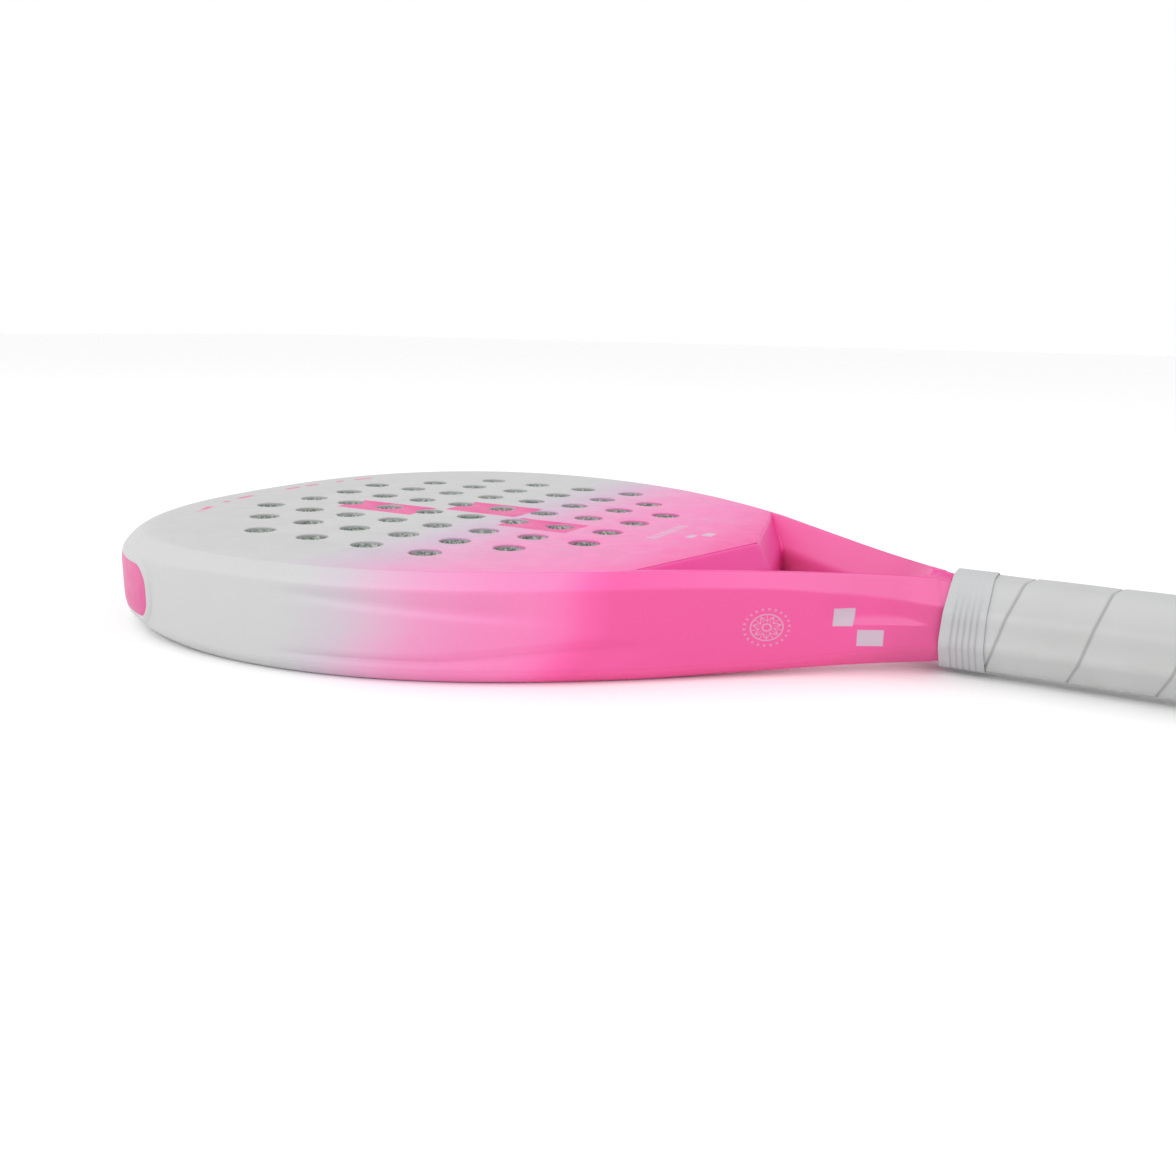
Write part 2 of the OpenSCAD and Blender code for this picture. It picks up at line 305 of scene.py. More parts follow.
def tube_half(s, upper):
    """Half of the section at arc length s, as (inset, height) from the side over the edge to the inner wall."""
    x, y = outline_at(s)
    nx, ny = inward_at(np.array([s]))[0]
    h, ew, eh = float(top_h(x)), float(edge_w(x)), float(edge_h(x))
    tipn = float(tipness(x))
    side = h - eh
    g, low, stand = hollow(x, side, upper)
    soft = float(mix(2.4, 1.1, ease(bend_x - 20, bend_x + 10, x)))
    on_plate = float(1 - ease(6, 15, x))
    arm = float(ease(0, 12, x))
    w = inner_reach(x, y, nx, ny) if x > bend_x else TUBE_W
    scoop = float(ease(APEX_CENTRE - 8, APEX_CENTRE + APEX_R + 3, x + w * nx))
    slope_w = mix(mix(0.6, 8.0, arm), 4.6, scoop)
    slope_h = mix(mix(0.6, 11.0, arm), 1.2, scoop)
    rib = min(rib_h(x, upper), side * 0.68) if x < bend_x + 25 or not upper else 0.05
    seat = h - PLATE_T * on_plate - 0.02 * (1 - float(ease(15, 19, x)))
    lip = ew + mix(1.0, 3.0, tipn)
    crest = max(w - slope_w, ew + 0.6)
    lower = rounded_path([(0, 0), (0, rib), (g, max(low, rib + 0.4)), (stand, side - 2)], [1.2, 1.8], 6)
    outer = np.concatenate([lower[:-1], outer_edge(ew, eh, side, h, lip, tipn, stand, soft)])
    start = lip + 0.42 if on_plate >= 0.5 else min(lip + 0.42, crest - 0.05)
    cuts = [mix(0.3, 1.0, arm), mix(0.3, 2.2, arm)]
    inner = rounded_path([(start, seat), (crest, seat), (w, seat - slope_h), (w, 0)], cuts)
    if start < outer[-1][0]:
        outer[-1] = (start, h)
    return np.concatenate([outer, inner])


def tube_section(s, wall=0.0):
    """The closed section at arc length s; a wall's thickness shrinks it on every side."""
    upper, lower = tube_half(s, True), tube_half(s, False)
    whole = np.concatenate([upper, (lower * [1, -1])[::-1][1:-1]])
    if wall:
        w, h = upper[-1][0], float(top_h(outline_at(s)[0]))
        whole = whole * [(w - 2 * wall) / w, (h - wall - PLATE_T) / h] + [wall, 0]
    return whole


APEX_R = 4.5


def apex_circle():
    """Where the circle that rounds the throat opening's narrow end has its centre, and where it takes over."""
    s = np.linspace(arc_where_x(bend_x), ARC[-1], 400)
    q = outline_at(s) + TUBE_W * inward_at(s)
    for centre in np.linspace(bend_x, neck_x, 300):
        reach = np.hypot(q[:, 0] - centre, q[:, 1])
        if reach.min() <= APEX_R:
            return centre, q[reach.argmin(), 0]
    return neck_x - APEX_R, neck_x - APEX_R


APEX_CENTRE, APEX_FROM = apex_circle()


def inner_reach(x, y, nx, ny):
    """How far inward an arm's wall goes: the tube's width, or to where the two arms come together."""
    for w in np.arange(1.0, y / -ny, 0.05):
        qx, qy = x + w * nx, y + w * ny
        if qx < APEX_FROM:
            if w >= TUBE_W:
                return w
        elif qy <= math.sqrt(max(0, APEX_R**2 - (qx - APEX_CENTRE) ** 2)):
            return w
    return y / -ny


def stations():
    """Arc lengths of the tube's sections: closer together where the shape turns."""
    turn, merge = arc_where_x(-20), arc_where_x(neck_x - 20)
    head = np.linspace(0, turn, 130, endpoint=False)
    arm = np.linspace(turn, merge, 80, endpoint=False)
    return np.concatenate([head, arm, np.linspace(merge, ARC[-1], 34)])


STATIONS = stations()


def tube_grid(side, wall=0.0):
    """Rows of points round the tube, one a station, on the +Y (1) or the -Y (-1) half."""
    rows = []
    for s, start, n in zip(STATIONS, outline_at(STATIONS), inward_at(STATIONS)):
        whole = tube_section(s, wall)
        x, y = (start + whole[:, :1] * n).T
        rows.append(np.stack([x, side * np.maximum(y, 0), mid_z + whole[:, 1]], 1))
    return np.array(rows)


def make_tube_foam():
    """The foam inside the tube, all round the head and down both arms."""
    step, wall = 4, 1.5
    plus, minus = tube_grid(1, wall)[::step], tube_grid(-1, wall)[::step]
    grid = np.concatenate([minus[::-1][:-1], plus])
    return grid_piece("tube_foam_core", grid, wrap_cols=True, caps=True)


# How the frame's end narrows inside the collar: distance past the neck and share of the section
TAILS = ((0.4, 0.98), (1.6, 0.965), (6.0, 0.93))


def make_frame_shell():
    """The painted tube: from one arm's end round the head to the other's, with a tail inside the collar."""
    plus, minus = tube_grid(1), tube_grid(-1)
    middle = np.array([neck_x, 0, mid_z])
    tails = [middle + (plus[-1] - middle) * [1, k, k] + [d, 0, 0] for d, k in TAILS]
    far_tails = [t * [1, -1, 1] for t in tails[::-1]]
    grid = np.concatenate([far_tails, minus[::-1][:-1], plus, tails])
    return weighted(grid_piece("frame_shell", grid, wrap_cols=True, caps=True))


# ---------------- faces with their air holes


def hole_centres():
    """Columns of holes; the outermost row spreads a little along the racket."""
    out = []
    for column, count in enumerate(HOLES_PER_COLUMN):
        for y in HOLE_ROWS[:count]:
            from_middle = (column - 3.5) * HOLE_PITCH - 0.8
            x = holes_x + from_middle * (1 + 0.22 * (y / HOLE_ROWS[-1]) ** 2)
            out += [(x, y), (x, -y)]
    return out


def circle(cx, cy, r):
    turns = [2 * math.pi * k / HOLE_SEG for k in range(HOLE_SEG)]
    return [(cx + r * math.cos(a), cy + r * math.sin(a)) for a in turns]


def crest_line(y, ahead=0.0):
    """x of the chevron crease across the bridge, or of a line a given distance ahead of it."""
    return crest_x + ahead - CHEVRON * np.abs(y)


def plate_boundary():
    """The flat face's edge, inside the outer crease and along the chevron, and its corner there."""
    pts, n = outline_at(STATIONS), inward_at(STATIONS)
    lip = edge_w(pts[:, 0]) + mix(1.0, 2.5, tipness(pts[:, 0])) + 0.4
    p = pts + lip[:, None] * n
    gap = p[:, 0] - crest_line(p[:, 1])
    k = int(np.argmax(gap > 0))
    corner = mix(p[k - 1], p[k], gap[k - 1] / (gap[k - 1] - gap[k]))
    ys = np.linspace(corner[1], 0, 24)[1:]
    half = np.concatenate([p[:k], [corner], np.stack([crest_line(ys), ys], 1)])
    mirror = (half * [1, -1])[::-1]
    return np.concatenate([half, mirror[1:-1]]), corner


def make_plate(name, sign):
    """One face: flat sheet with rounded rims at its holes and painted walls through the laminate."""
    boundary, _ = plate_boundary()
    rim = 0.45
    z_out = mid_z + sign * half_t
    count = len(boundary)
    plan = [Vector((float(x), float(y))) for x, y in boundary]
    edges = [(i, (i + 1) % count) for i in range(count)]
    holes = hole_centres()
    for cx, cy in holes:
        start = len(plan)
        plan += [Vector(p) for p in circle(cx, cy, HOLE_R + rim)]
        edges += [(start + k, start + (k + 1) % HOLE_SEG) for k in range(HOLE_SEG)]
    pts, _, tris, origins, _, _ = delaunay_2d_cdt(plan, edges, [], 0, 1e-4)
    verts = [(p.x, p.y, z_out) for p in pts]
    faces = []
    for tri in tris:
        c = sum((np.array(pts[i]) for i in tri), np.zeros(2)) / len(tri)
        over_hole = np.min(np.hypot(*(np.array(holes) - c).T)) < (HOLE_R + rim) * 0.985
        if not over_hole and inside(boundary, c):
            faces.append(tuple(tri) if sign > 0 else tuple(reversed(tri)))
    # rims: a quarter round and then the laminate's wall
    quarter = np.linspace(0, math.pi / 2, 5)
    profile = [(rim * (1 - math.sin(t)), rim * (1 - math.cos(t))) for t in quarter] + [(0.0, PLATE_T)]
    for cx, cy in holes:
        base = len(verts)
        for dr, dz in profile:
            verts += [(x, y, z_out - sign * dz) for x, y in circle(cx, cy, HOLE_R + dr)]
        faces += grid_faces(len(profile), HOLE_SEG, wrap_cols=True, start=base)
    # a skirt along the edge, down to the laminate's back
    back = len(verts)
    verts += [(x, y, z_out - sign * PLATE_T) for x, y in boundary]
    front = {origin: i for i, found in enumerate(origins) for origin in found}
    for i in range(count):
        j = (i + 1) % count
        faces.append((front[i], front[j], back + j, back + i))
    return new_mesh(name, verts, faces)


def inside(poly, p):
    """Whether a point lies inside a polygon."""
    x, y = poly[:, 0], poly[:, 1]
    x2, y2 = np.roll(x, -1), np.roll(y, -1)
    hit = ((y > p[1]) != (y2 > p[1])) & (p[0] < (x2 - x) * (p[1] - y) / (y2 - y + 1e-12) + x)
    return hit.sum() % 2 == 1


def make_core():
    """The foam's cut walls inside the air holes, as one closed ring a hole."""
    verts, faces = [], []
    zs = [PLATE_T, *np.linspace(1.6, 2 * half_t - 1.6, 14), 2 * half_t - PLATE_T]
    loop = [(HOLE_R + 0.02, z) for z in zs] + [(HOLE_R + 2.5, zs[-1]), (HOLE_R + 2.5, zs[0])]
    for cx, cy in hole_centres():
        base = len(verts)
        for r, z in loop:
            verts += [(x, y, z) for x, y in circle(cx, cy, r)]
        faces += grid_faces(len(loop), HOLE_SEG, wrap_rows=True, wrap_cols=True, start=base)
    return new_mesh("core_walls", verts, faces)


BRIDGE_SLOPE = rounded_path(BRIDGE_CORNERS, BRIDGE_CUTS, 8)[1:]
# Ratio of distances across the chevron's slanting front to distances along the racket
ACROSS = math.cos(math.atan(CHEVRON))


def make_bridge():
    """The chevron front of the bridge: crease, forward slope, rounded corner and wall, above and below."""
    _, corner = plate_boundary()
    profile = np.concatenate([BRIDGE_SLOPE, (BRIDGE_SLOPE[:-1] * [1, -1])[::-1]])
    rows = []
    for y in np.linspace(-corner[1], corner[1], 61):
        soft = math.sqrt(y * y + 1.2**2) - 1.2
        x = crest_x - CHEVRON * soft
        row = [(x + ahead / ACROSS, y, mid_z + z) for ahead, z in profile]
        back = half_t - PLATE_T
        rows.append(row + [(x - 9, y, mid_z - back), (x - 9, y, mid_z + back)])
    return weighted(grid_piece("bridge_shell", rows, wrap_cols=True, caps=True))


def make_corner_fillet(name, side):
    """The small radius where the bridge's front runs into an arm's inner wall."""
    s = np.linspace(arc_where_x(5), arc_where_x(60), 300)
    pts, n = outline_at(s), inward_at(s)
    levels = np.concatenate([np.linspace(half_t - 0.9, 8, 16), np.linspace(7, 0.5, 6)])
    levels = np.concatenate([levels, -levels[::-1]])
    top = top_h(pts[:, 0])
    rows = []
    for z in levels:
        az = abs(z)
        ahead = float(np.interp(az, BRIDGE_SLOPE[::-1, 1], BRIDGE_SLOPE[::-1, 0]))
        reach = mix(7.0, TUBE_W, np.clip((top - az) / 11.0, 0, 1))
        wall = pts + reach[:, None] * n
        gap = wall[:, 0] - crest_line(wall[:, 1], ahead / ACROSS)
        k = int(np.argmax(gap > 0))
        meet = mix(wall[k - 1], wall[k], gap[k - 1] / (gap[k - 1] - gap[k]))
        along_arm = wall[k + 25] - wall[k]
        along_arm /= np.linalg.norm(along_arm)
        along_bridge = np.array([CHEVRON, -1.0]) * ACROSS
        size = mix(0.4, 2.8, min(1, (half_t - az) / 9.0))
        p, q = meet + along_bridge * size, meet + along_arm * size
        back = -(along_arm + along_bridge)
        back *= 1.5 / np.linalg.norm(back)
        arc = corner_curve(p, meet, q, 9)
        arc = [p + back - along_bridge * 0.4, p, *arc[1:-1], q, q + back - along_arm * 0.4]
        rows.append([(x, side * y, mid_z + z) for x, y in arc])
    return grid_piece(name, rows, wrap_cols=True, caps=True)


# ---------------- panel on the tip

INSET_HALF_H = 9.7
INSET_R = 7.5
INSET_ARC = arc_where_x(wide_x - 39.5)
# The tip's side as a grid: how far in it lies at each arc length and height
TIP_ARCS = np.linspace(0, INSET_ARC + 8, 70)
TIP_LEVELS = np.linspace(0, half_t, 90)


def side_insets(s):
    """How far inward the side lies at each of the levels, at arc length s."""
    half = tube_half(s, True)
    rise = half[: np.argmax(half[:, 1]) + 1]
    return np.interp(TIP_LEVELS, rise[:, 1], rise[:, 0])


TIP_INSETS = [side_insets(s) for s in TIP_ARCS]


def side_point(s, z, out):
    """A point on the tip's side at signed arc length s and height z, standing out by a distance."""
    a = abs(float(s))
    at = np.interp(a, TIP_ARCS, np.arange(len(TIP_ARCS)))
    k = min(int(at), len(TIP_ARCS) - 2)
    inset = mix(*[np.interp(abs(z), TIP_LEVELS, TIP_INSETS[j]) for j in (k, k + 1)], at - k)
    p = outline_at(a) + (inset - out) * inward_at(np.array([a]))[0]
    return (p[0], math.copysign(p[1], s) if a > 1e-9 else 0.0, mid_z + z)


def inset_loop(grow):
    """Rounded outline of the panel in (arc length, height), grown outwards."""
    w, h, r = INSET_ARC, INSET_HALF_H, INSET_R
    corners = [(w - r, h - r), (r - w, h - r), (r - w, r - h), (w - r, r - h)]
    r += grow
    pts = []
    for q in range(4):
        (cx, cz), (dx, dz) = corners[q], corners[(q + 1) % 4]
        for t in np.radians(np.linspace(0, 90, 14, endpoint=False)) + q * math.pi / 2:
            pts.append((cx + r * math.cos(t), cz + r * math.sin(t)))
        end = (q + 1) * math.pi / 2
        ox, oz = r * math.cos(end), r * math.sin(end)
        for t in np.linspace(0, 1, 8 if q % 2 else 70, endpoint=False):
            pts.append((mix(cx, dx, t) + ox, mix(cz, dz, t) + oz))
    return pts


# Section of the lip that frames the panel: distance out from the panel's edge and share of its height
RIM_PROFILE = (
    (-0.5, -0.9), (0.0, 0.05), (0.5, 0.75), (1.2, 1.0), (2.0, 0.80), (2.8, 0.34), (3.4, -0.12), (3.8, -0.9)
)


def make_tip_rim():
    """The lip round the panel: it stands proud at the ends and blends into the edge above and below."""
    rows = []
    for grow, out in RIM_PROFILE:
        row = []
        for s, z in inset_loop(grow):
            proud = mix(0.28, 1.15, float(ease(INSET_ARC - 12, INSET_ARC - 1, abs(s))))
            row.append(side_point(s, z, out * proud if out > 0 else out))
        rows.append(row)
    return grid_piece("tip_rim", rows, wrap_rows=True, wrap_cols=True)


def make_inset():
    """The coloured panel: it follows the side and swells a little in the middle."""
    rows = [[side_point(s, z, -0.7) for s, z in inset_loop(0.25)]]
    for grow in (0.25, -0.3, -1.0, -2.2, -3.6, -5.2):
        bulge = 0.06 + 0.34 * (1 - math.exp(min(grow, 0) / 1.6))
        rows.append([side_point(s, z, bulge) for s, z in inset_loop(grow)])
    for shrink in (0.6, 0.2, 0.0):
        rows.append([side_point(s, z * shrink, 0.41) for s, z in inset_loop(-5.3)])
    return merged(grid_piece("tip_panel", rows, wrap_cols=True))


# ---------------- handle


def octagon(w, h):
    """The handle's section: its flats are a little over a third of its width and height."""
    a, b = w * 0.36, h * 0.34
    return [(w, -b), (w, b), (a, h), (-a, h), (-w, b), (-w, -b), (-a, -h), (a, -h)]


def octagon_loop(w, h, cut=2.6, steps=7, flat_steps=6):
    """Rounded octagon as (y, z) points, with points along the flats as well."""
    base = [np.array(p, float) for p in octagon(w, h)]
    out = []
    for a, b, c in zip(base[-1:] + base, base, base[1:] + base[:1]):
        p = b + (a - b) / np.linalg.norm(a - b) * cut
        q = b + (c - b) / np.linalg.norm(c - b) * cut
        out += corner_curve(p, b, q, steps)
        ahead = c + (b - c) / np.linalg.norm(b - c) * cut
        out += [q + (ahead - q) * t for t in np.linspace(0, 1, flat_steps + 1)[1:-1]]
    return np.array(out)


def ring(x, loop, lean=0.0, h=1.0):
    """One row of points round the handle; its top leans back from its foot by a distance."""
    return [(x + lean * (z + h) / (2 * h), y, mid_z + z) for y, z in loop]


# Distance from turn to turn of the wound tape, and where one seam crosses the handle's far side
GRIP_PITCH = 26.9
SEAM_AT = 141.7


def make_grip():
    """The wound tape: one strip round the handle, each turn a little crowned, with a seam between turns."""
    loop = octagon_loop(grip_hi[1], grip_hi[2] - mid_z, 2.4, 7, 7)
    closed = np.vstack([loop, loop[:1]])
    run = np.concatenate([[0], np.cumsum(np.linalg.norm(np.diff(closed, axis=0), axis=1))])
    turn = run[:-1] / run[-1]
    outward = loop / np.linalg.norm(loop, axis=1)[:, None]
    x0, x1 = grip_lo[0] + 0.2, grip_hi[0]
    first = math.floor((x0 - SEAM_AT) / GRIP_PITCH) - 1
    last = math.ceil((x1 - SEAM_AT) / GRIP_PITCH) + 2
    # shares of a turn's width, closer together next to the seams
    spans = ((0, 0.06, 9), (0.06, 0.94, 31), (0.94, 1, 9))
    shares = np.concatenate([np.linspace(a, b, count)[:-1] for a, b, count in spans])
    verts, shade = [], []
    for k in range(first, last):
        for f in shares:
            from_seam = min(f, 1 - f) * GRIP_PITCH
            dip = 0.42 * math.exp(-((from_seam / 0.5) ** 2))
            crown = 0.10 * (1 - (2 * f - 1) ** 2)
            step = 0.18 * (1 - f)
            push = -0.16 - dip + crown + step
            for (y, z), d, t in zip(loop, outward, turn):
                x = SEAM_AT + (k + f - t) * GRIP_PITCH
                verts.append((min(max(x, x0), x1), y + d[0] * push, mid_z + z + d[1] * push))
                # How strongly the seam's painted shade darkens each point.
                shade.append(math.exp(-((from_seam / 0.45) ** 2)))
    # a row's end meets the start of the row one turn earlier, so the last column joins that row's first
    cols, per = len(loop), len(shares)
    faces = []
    for i in range(len(verts) // cols - 1):
        here, ahead = i * cols, (i + 1) * cols
        faces += [(here + j, here + j + 1, ahead + j + 1, ahead + j) for j in range(cols - 1)]
        if i >= per:
            turn_back = per * cols
            faces.append((ahead - 1, here - turn_back, ahead - turn_back, ahead + cols - 1))
    obj = raw_mesh("grip_wrap", verts, faces)
    mesh = obj.data
    attr = mesh.attributes.new("seam", "FLOAT", "POINT")
    attr.data.foreach_set("value", np.array(shade, np.float32))
    bm = bmesh.new()
    bm.from_mesh(mesh)
    bmesh.ops.delete(bm, geom=[f for f in bm.faces if f.calc_area() < 1e-12], context="FACES")
    bmesh.ops.delete(bm, geom=[v for v in bm.verts if not v.link_faces], context="VERTS")
    bmesh.ops.recalc_face_normals(bm, faces=bm.faces)
    for f in bm.faces:
        f.smooth = True
    bm.to_mesh(mesh)
    bm.free()
    return obj


# The collar's grooves: how far behind its front, from one to the next, and how many
GROOVE_FROM, GROOVE_PITCH, GROOVES = 4.0, 2.15, 5
# How far the top of the collar's front lies behind its foot
COLLAR_LEAN = 2.1


def make_collar():
    """Ribbed rubber ring: rounded front that leans back at the top, grooves on the sides, plain rear band."""
    x0, x1 = collar_lo[0], collar_hi[0]
    w, h = collar_hi[1] - 0.2, collar_hi[2] - mid_z - 0.25
    bore, depth = 0.42, 0.36
    front = [(x0 + 1.2, -bore), (x0 + 0.12, -bore)]
    for a in np.linspace(0, math.pi / 2, 8):
        front.append((x0 + 1.5 * (1 - math.sin(a)), -depth * math.cos(a) ** 1.4))
    grooves = []
    for g in range(GROOVES):
        c = x0 + GROOVE_FROM + g * GROOVE_PITCH
        for t in np.linspace(-1, 1, 11):
            grooves.append((c + t * 0.95, -depth * (0.5 + 0.5 * math.cos(math.pi * t))))
    rear = []
    for a in np.linspace(0, math.pi / 2, 5):
        rear.append((x1 - 0.4 + 0.4 * math.sin(a), -0.25 * (1 - math.cos(a))))
    rear += [(x1, -bore), (x1 - 2, -bore), (x0 + 3, -bore)]
    # the grooves are shallow on the flats above and below
    rows = [(x, d, d) for x, d in front] + [(x, d, 0.15 * d) for x, d in grooves] + [(x, d, d) for x, d in rear]
    grid = []
    for x, across, up in rows:
        lean = COLLAR_LEAN * (x1 - x) / (x1 - x0)
        grid.append(ring(x, octagon_loop(w + across, h + up, 2.9), lean, h))
    return grid_piece("collar_ring", grid, wrap_rows=True, wrap_cols=True)


def make_tape():
    """The tape that ends the grip; its front edge is rolled into a bead that fills the collar's mouth."""
    w, h = tape_hi[1], tape_hi[2] - mid_z
    x0, x1 = collar_lo[0] - 0.35, tape_hi[0]
    rows = [(x0 + 1.5, -3.4), (x0 + 0.1, -3.4)]
    for a in np.linspace(0, math.pi / 2, 8):
        rows.append((x0 + 1.0 * (1 - math.cos(a)), -1.4 + 1.6 * math.sin(a)))
    rows += [(x0 + 1.9, 0.2), (x0 + 2.8, -0.05), (x1, -0.05), (x1, -0.4), (x0 + 8, -0.4)]
    grid = []
    for x, d in rows:
        lean = COLLAR_LEAN * max(0, 1 - (x - x0) / 12)
        grid.append(ring(x, octagon_loop(w + d, h + d), lean, h))
    return grid_piece("tape_end", grid, wrap_rows=True, wrap_cols=True)


def make_butt_cap():
    """Moulded cap: rounded flange, dished end and the hole for the wrist cord."""
    w, h = cap_hi[1], cap_hi[2] - mid_z
    x0, x1 = grip_hi[0] + 0.1, cap_hi[0]
    front_r, end_r, hole = 0.9, 2.2, 3.5
    rows = [(x0, -3.5), (x0, -front_r)]
    for a in np.linspace(0, math.pi / 2, 6):
        rows.append((x0 + front_r * (1 - math.cos(a)), -front_r * (1 - math.sin(a))))
    for a in np.linspace(0, math.pi / 2, 9):
        rows.append((x1 - end_r + end_r * math.sin(a), -end_r * (1 - math.cos(a))))
    grid = [ring(x, octagon_loop(w + d, h + d, 3.0)) for x, d in rows]
    # the dish: from the octagon's rim to a circle, then down into the hole
    rim = octagon_loop(w - end_r, h - end_r, 3.0)
    turn = np.arctan2(rim[:, 1], rim[:, 0])
    round_rim = np.stack([np.cos(turn), np.sin(turn)], 1)
    for t, dx in ((0.12, 0.0), (0.2, -0.35), (0.55, -0.6), (0.86, -0.6)):
        grid.append(ring(x1 + dx, rim * (1 - t) + round_rim * (hole + 1.0) * t))
    for r, dx in ((hole + 0.5, -0.62), (hole + 0.15, -0.75), (hole, -1.1), (hole, -9.0), (0.01, -9.0)):
        grid.append(ring(x1 + dx, round_rim * r))
    return grid_piece("butt_cap_shell", grid, wrap_cols=True)


# ---------------- materials


def srgb(r, g, b):
    """Linear colour with alpha of an sRGB tone from 0 to 255."""

    def lin(c):
        c /= 255
        return c / 12.92 if c <= 0.04045 else ((c + 0.055) / 1.055) ** 2.4

    return (lin(r), lin(g), lin(b), 1.0)


class Nodes:
    """A short way to write a material's node tree."""

    def __init__(self, name):
        self.mat = bpy.data.materials.new(name)
        self.mat.use_nodes = True
        self.tree = self.mat.node_tree
        self.tree.nodes.clear()
        out = self.new("OutputMaterial")
        self.bsdf = self.new("BsdfPrincipled")
        self.link(self.bsdf.outputs[0], out.inputs[0])
        self.coord = self.new("TexCoord").outputs["Object"]

    def new(self, kind):
        return self.tree.nodes.new("ShaderNode" + kind)

    def link(self, a, b):
        self.tree.links.new(a, b)

    def put(self, socket, value):
        if isinstance(value, bpy.types.NodeSocket):
            self.link(value, socket)
        else:
            socket.default_value = value

    def math(self, op, *values, clamp=False):
        node = self.new("Math")
        node.operation = op
        node.use_clamp = clamp
        for socket, value in zip(node.inputs, values):
            self.put(socket, value)
        return node.outputs[0]

    def times(self, first, *rest):
        for value in rest:
            first = self.math("MULTIPLY", first, value)
        return first

    def most(self, first, *rest):
        for value in rest:
            first = self.math("MAXIMUM", first, value)
        return first

    def minus(self, a, b):
        return self.math("SUBTRACT", a, b)

    def sine(self, value, factor):
        return self.math("SINE", self.times(value, factor))

    def away(self, value, centre):
        """Distance of a value from a centre."""
        return self.math("ABSOLUTE", self.minus(value, centre))

    def xyz(self, vector=None):
        node = self.new("SeparateXYZ")
        self.link(vector or self.coord, node.inputs[0])
        return node.outputs

    def normal(self):
        return self.xyz(self.new("NewGeometry").outputs["Normal"])

    def noise(self, scale, detail=3.0, rough=0.5, stretch=None):
        node = self.new("TexNoise")
        for key, value in (("Scale", scale), ("Detail", detail), ("Roughness", rough)):
            node.inputs[key].default_value = value
        vector = self.coord
        if stretch:
            mapping = self.new("Mapping")
            mapping.inputs["Scale"].default_value = stretch
            self.link(vector, mapping.inputs[0])
            vector = mapping.outputs[0]
        self.link(vector, node.inputs["Vector"])
        return node.outputs["Fac"]

    def scatter(self, lo, hi, *noise):
        """A value that wanders between two limits."""
        return self.range(self.noise(*noise), 0.3, 0.7, lo, hi)

    def voronoi(self, scale):
        node = self.new("TexVoronoi")
        node.inputs["Scale"].default_value = scale
        self.link(self.coord, node.inputs["Vector"])
        return node.outputs["Distance"]

    def ramp(self, fac, stops):
        node = self.new("ValToRGB")
        el = node.color_ramp.elements
        while len(el) > 1:
            el.remove(el[-1])
        el[0].position, el[0].color = stops[0]
        for pos, colour in stops[1:]:
            el.new(pos).color = colour
        self.link(fac, node.inputs[0])
        return node.outputs[0]

    def between(self, fac, a, b):
        """From one colour to the other over the middle of a texture's range."""
        return self.ramp(fac, [(0.3, a), (0.7, b)])

    def range(self, value, a, b, c=0.0, d=1.0, smooth=False):
        node = self.new("MapRange")
        node.clamp = True
        if smooth:
            node.interpolation_type = "SMOOTHSTEP"
        for socket, v in zip(node.inputs, (value, a, b, c, d)):
            self.put(socket, v)
        return node.outputs[0]

    def band(self, value, lo, hi, soft):
        """1 between lo and hi, with soft edges."""
        a = self.range(value, lo - soft, lo + soft)
        b = self.range(value, hi - soft, hi + soft)
        return self.math("SUBTRACT", a, b, clamp=True)

    def box(self, x, x0, x1, y, y0, y1):
        return self.times(self.band(x, x0, x1, 0.00014), self.band(y, y0, y1, 0.00014))

    def boxes(self, x, y, spans):
        """1 inside any of the boxes, each (x from, x to, y from, y to)."""
        return self.most(*[self.box(x, x0, x1, y, y0, y1) for x0, x1, y0, y1 in spans])

    def radius(self, dx, dy):
        return self.math("SQRT", self.math("ADD", self.times(dx, dx), self.times(dy, dy)))

    def blend(self, fac, a, b, mode="MIX"):
        node = self.new("Mix")
        node.data_type = "RGBA"
        node.blend_type = mode
        for k, value in ((0, fac), (6, a), (7, b)):
            self.put(node.inputs[k], value)
        return node.outputs[2]

    def grey(self, value):
        node = self.new("CombineColor")
        for socket in node.inputs[:3]:
            self.link(value, socket)
        return node.outputs[0]

    def shade(self, colour, value):
        """A colour made darker or lighter by a factor."""
        return self.blend(1.0, colour, self.grey(value), "MULTIPLY")

    def bump(self, height, strength, distance):
        node = self.new("Bump")
        node.inputs["Strength"].default_value = strength
        node.inputs["Distance"].default_value = distance
        self.link(height, node.inputs["Height"])
        self.link(node.outputs[0], self.bsdf.inputs["Normal"])

    def set(self, **values):
        for key, v in values.items():
            self.put(self.bsdf.inputs[key.replace("_", " ")], v)


# How much light each kind of surface gets in the studio, and the sheen that its lacquer adds
# (gain at the tip, gain at the neck, sheen)
SIDE_LIGHT, UNDER_LIGHT, BEVEL_LIGHT = (1.344, 1.21, 0.008), (1.24, 1.06, 0.008), (1.37, 1.27, 0.018)
FACE_LIGHT, PANEL_LIGHT, CLOTH_LIGHT = (1.066, 1.066, 0.139), (1.076, 1.076, 0.19), (1.25, 1.25, 0.03)


def tone(rgb, light=CLOTH_LIGHT, x=0.0):
    """Paint colour that looks like the given tone under the studio's light."""
    at_tip, at_neck, sheen = light
    gain = np.interp(x, (-110, 60), (at_tip, at_neck))
    return tuple(float(np.clip((c - sheen) / gain, 0.004, 0.95)) for c in srgb(*rgb)[:3]) + (1.0,)


